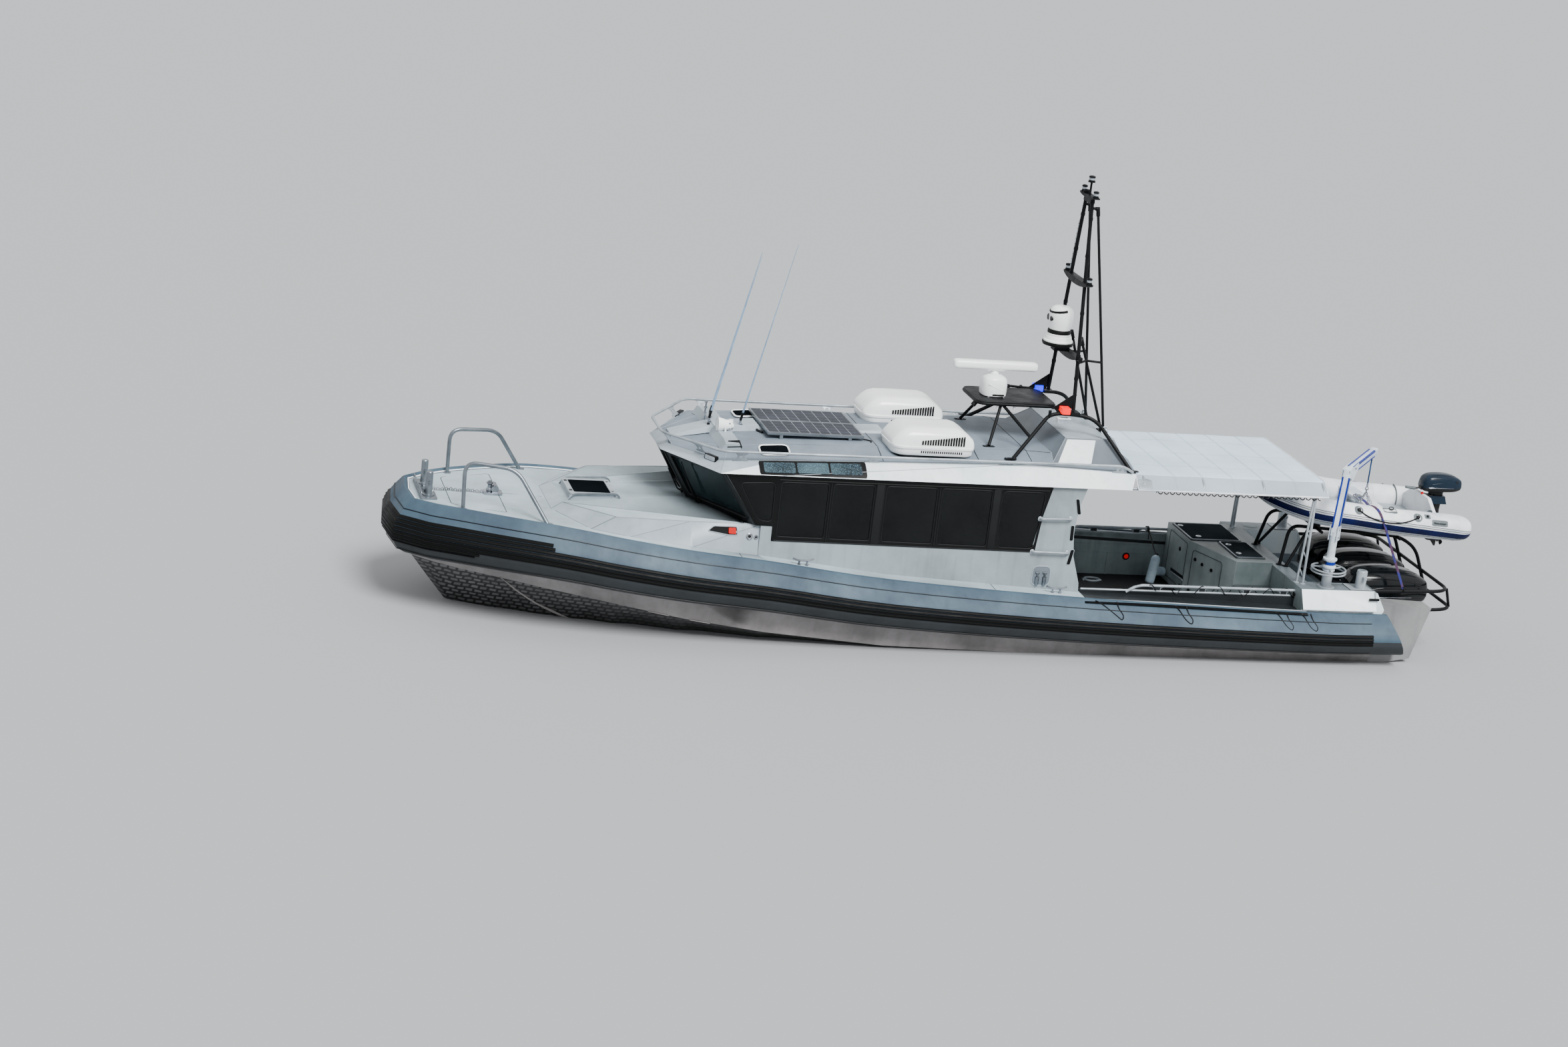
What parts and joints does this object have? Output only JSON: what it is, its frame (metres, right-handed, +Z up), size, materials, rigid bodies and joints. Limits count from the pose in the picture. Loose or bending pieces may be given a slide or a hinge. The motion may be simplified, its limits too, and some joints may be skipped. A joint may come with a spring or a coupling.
{
  "type": "inshore rescue boat",
  "caption": "Cabin rescue boat with a foam collar, raised wheelhouse, aft cockpit under a canopy, outboard engines and an inflatable tender on a stern cradle.",
  "frame": {"origin": "on the waterline at rest, on the centreline, near amidships", "axes": "+X towards the bow, +Y to port, +Z up"},
  "size_m": [14.034, 3.628, 6.7],
  "materials": {
    "hull_paint": "satin, near black below a light grey chine band",
    "collar_skin": "matt blue-grey coated foam",
    "band_rubber": "matt black ribbed rubber",
    "grey_paint": "satin light grey paint",
    "cockpit_paint": "satin grey-green paint",
    "dark_glass": "tinted, clear gloss",
    "frame_black": "satin black powder coat",
    "bare_aluminium": "satin welded tube",
    "white_plastic": "gloss white moulding",
    "red_lens": "clear red lens",
    "blue_lens": "clear blue lens",
    "solar_glass": "gloss cells under glass",
    "aerial": "light blue whips",
    "canopy_cloth": "sewn off-white cloth",
    "console_black": "matt black",
    "seat_trim": "black trim",
    "engine_black": "gloss black cowl",
    "propeller_steel": "polished steel",
    "tender_skin": "satin white coated cloth",
    "tender_floor": "light grey moulding",
    "tender_engine": "dark blue-grey cowl",
    "fender_grey": "satin grey"
  },
  "bodies": {
    "boat": {"hull": "hull_paint", "hull_bow": "hull_paint", "hull_side_port": "hull_paint", "hull_side_starboard": "hull_paint", "hull_stern": "hull_paint", "collar": "collar_skin", "rubbing_band": "band_rubber", "deck": "grey_paint", "bow_bitts": "grey_paint", "bow_hoop_port": "bare_aluminium", "bow_hoop_starboard": "bare_aluminium", "windlass": "bare_aluminium", "cabin_side_port": "grey_paint", "cabin_side_starboard": "grey_paint", "windscreen_frame": "frame_black", "cabin_glass": "dark_glass", "roof": "grey_paint", "roof_rail": "bare_aluminium", "solar_panels": "solar_glass", "air_conditioner_port": "white_plastic", "air_conditioner_starboard": "white_plastic", "searchlight": "white_plastic", "aerials": "aerial", "radar_shelf": "frame_black", "radar_pedestal": "white_plastic", "beacon_port": "red_lens", "beacon_starboard": "blue_lens", "mast": "frame_black", "camera_base": "white_plastic", "cabin_bulkhead": "grey_paint", "helm_console": "console_black", "cabin_seats": "seat_trim", "stern_deck": "grey_paint", "cockpit_locker": "cockpit_paint", "fender": "fender_grey", "canopy_frame": "bare_aluminium", "canopy_cover": "canopy_cloth", "engine_brackets": "frame_black", "tender_tubes": "tender_skin", "tender_hull": "tender_floor", "stern_guard": "frame_black"},
    "radar_antenna": {"radar_antenna": "white_plastic"},
    "camera_head": {"camera_head": "white_plastic"},
    "davit": {"davit": "bare_aluminium"},
    "cabin_door": {"cabin_door": "grey_paint"},
    "foredeck_hatch": {"foredeck_hatch": "dark_glass"},
    "locker_lid_large": {"locker_lid_large": "cockpit_paint"},
    "locker_lid_small": {"locker_lid_small": "cockpit_paint"},
    "helm_wheel": {"helm_wheel": "console_black"},
    "tender_outboard": {"tender_outboard": "tender_engine"},
    "tender_propeller": {"tender_propeller": "tender_engine"},
    "engine_swivel_port": {"engine_swivel_port": "frame_black"},
    "outboard_port": {"outboard_port": "engine_black"},
    "propeller_port": {"propeller_port": "propeller_steel"},
    "engine_swivel_centre": {"engine_swivel_centre": "frame_black"},
    "outboard_centre": {"outboard_centre": "engine_black"},
    "propeller_centre": {"propeller_centre": "propeller_steel"},
    "engine_swivel_starboard": {"engine_swivel_starboard": "frame_black"},
    "outboard_starboard": {"outboard_starboard": "engine_black"},
    "propeller_starboard": {"propeller_starboard": "propeller_steel"}
  },
  "joints": [
    {"name": "radar_scan", "type": "hinge", "parent": "boat", "child": "radar_antenna", "pos_m": [-1.02, 0, 3.2], "axis": [0, 0, 1], "continuous": true},
    {"name": "camera_pan", "type": "hinge", "parent": "boat", "child": "camera_head", "pos_m": [-1.79, 0, 3.7], "axis": [0, 0, 1], "continuous": true},
    {"name": "davit_slew", "type": "hinge", "parent": "boat", "child": "davit", "pos_m": [-5.33, 1.27, 1], "axis": [0, 0, 1], "range_deg": [-130, 0]},
    {"name": "cabin_door_hinge", "type": "hinge", "parent": "boat", "child": "cabin_door", "pos_m": [-1.8165, 0.376, 1.1], "axis": [0, 0, -1], "range_deg": [0, 110]},
    {"name": "foredeck_hatch_hinge", "type": "hinge", "parent": "boat", "child": "foredeck_hatch", "pos_m": [4.24, 0, 1.458], "axis": [0, 1, 0], "range_deg": [0, 100]},
    {"name": "locker_lid_large_hinge", "type": "hinge", "parent": "boat", "child": "locker_lid_large", "pos_m": [-4.845, -0.75, 0.966], "axis": [0, -1, 0], "range_deg": [0, 85]},
    {"name": "locker_lid_small_hinge", "type": "hinge", "parent": "boat", "child": "locker_lid_small", "pos_m": [-4.895, -0.015, 0.966], "axis": [0, -1, 0], "range_deg": [0, 85]},
    {"name": "helm_turn", "type": "hinge", "parent": "boat", "child": "helm_wheel", "pos_m": [1.5, -0.62, 1.15], "axis": [-0.8912, 0, 0.4536], "range_deg": [-545, 545]},
    {"name": "outboard_tilt_port", "type": "hinge", "parent": "boat", "child": "engine_swivel_port", "pos_m": [-6.09, 0.68, 0.42], "axis": [0, 1, 0], "range_deg": [-4, 16]},
    {"name": "outboard_steer_port", "type": "hinge", "parent": "engine_swivel_port", "child": "outboard_port", "pos_m": [-6.2, 0.68, 0.3], "axis": [0, 0, 1], "range_deg": [-25, 25]},
    {"name": "propeller_turn_port", "type": "hinge", "parent": "outboard_port", "child": "propeller_port", "pos_m": [-6.68, 0.68, -0.62], "axis": [1, 0, 0], "continuous": true},
    {"name": "outboard_tilt_centre", "type": "hinge", "parent": "boat", "child": "engine_swivel_centre", "pos_m": [-6.09, 0, 0.42], "axis": [0, 1, 0], "range_deg": [-4, 16]},
    {"name": "outboard_steer_centre", "type": "hinge", "parent": "engine_swivel_centre", "child": "outboard_centre", "pos_m": [-6.2, 0, 0.3], "axis": [0, 0, 1], "range_deg": [-25, 25]},
    {"name": "propeller_turn_centre", "type": "hinge", "parent": "outboard_centre", "child": "propeller_centre", "pos_m": [-6.68, 0, -0.79], "axis": [1, 0, 0], "continuous": true},
    {"name": "outboard_tilt_starboard", "type": "hinge", "parent": "boat", "child": "engine_swivel_starboard", "pos_m": [-6.09, -0.68, 0.42], "axis": [0, 1, 0], "range_deg": [-4, 16]},
    {"name": "outboard_steer_starboard", "type": "hinge", "parent": "engine_swivel_starboard", "child": "outboard_starboard", "pos_m": [-6.2, -0.68, 0.3], "axis": [0, 0, 1], "range_deg": [-25, 25]},
    {"name": "propeller_turn_starboard", "type": "hinge", "parent": "outboard_starboard", "child": "propeller_starboard", "pos_m": [-6.68, -0.68, -0.62], "axis": [1, 0, 0], "continuous": true},
    {"name": "tender_steer", "type": "hinge", "parent": "boat", "child": "tender_outboard", "pos_m": [-7.205, 0, 1.7], "axis": [0, 0, 1], "range_deg": [-30, 30]},
    {"name": "tender_propeller_turn", "type": "hinge", "parent": "tender_outboard", "child": "tender_propeller", "pos_m": [-7.445, 0, 1.235], "axis": [1, 0, 0], "continuous": true}
  ],
  "couplings": [
    {"joint": "outboard_steer_port", "follows": "outboard_steer_centre", "ratio": 1},
    {"joint": "outboard_steer_starboard", "follows": "outboard_steer_centre", "ratio": 1},
    {"joint": "helm_turn", "follows": "outboard_steer_centre", "ratio": -21.6}
  ]
}
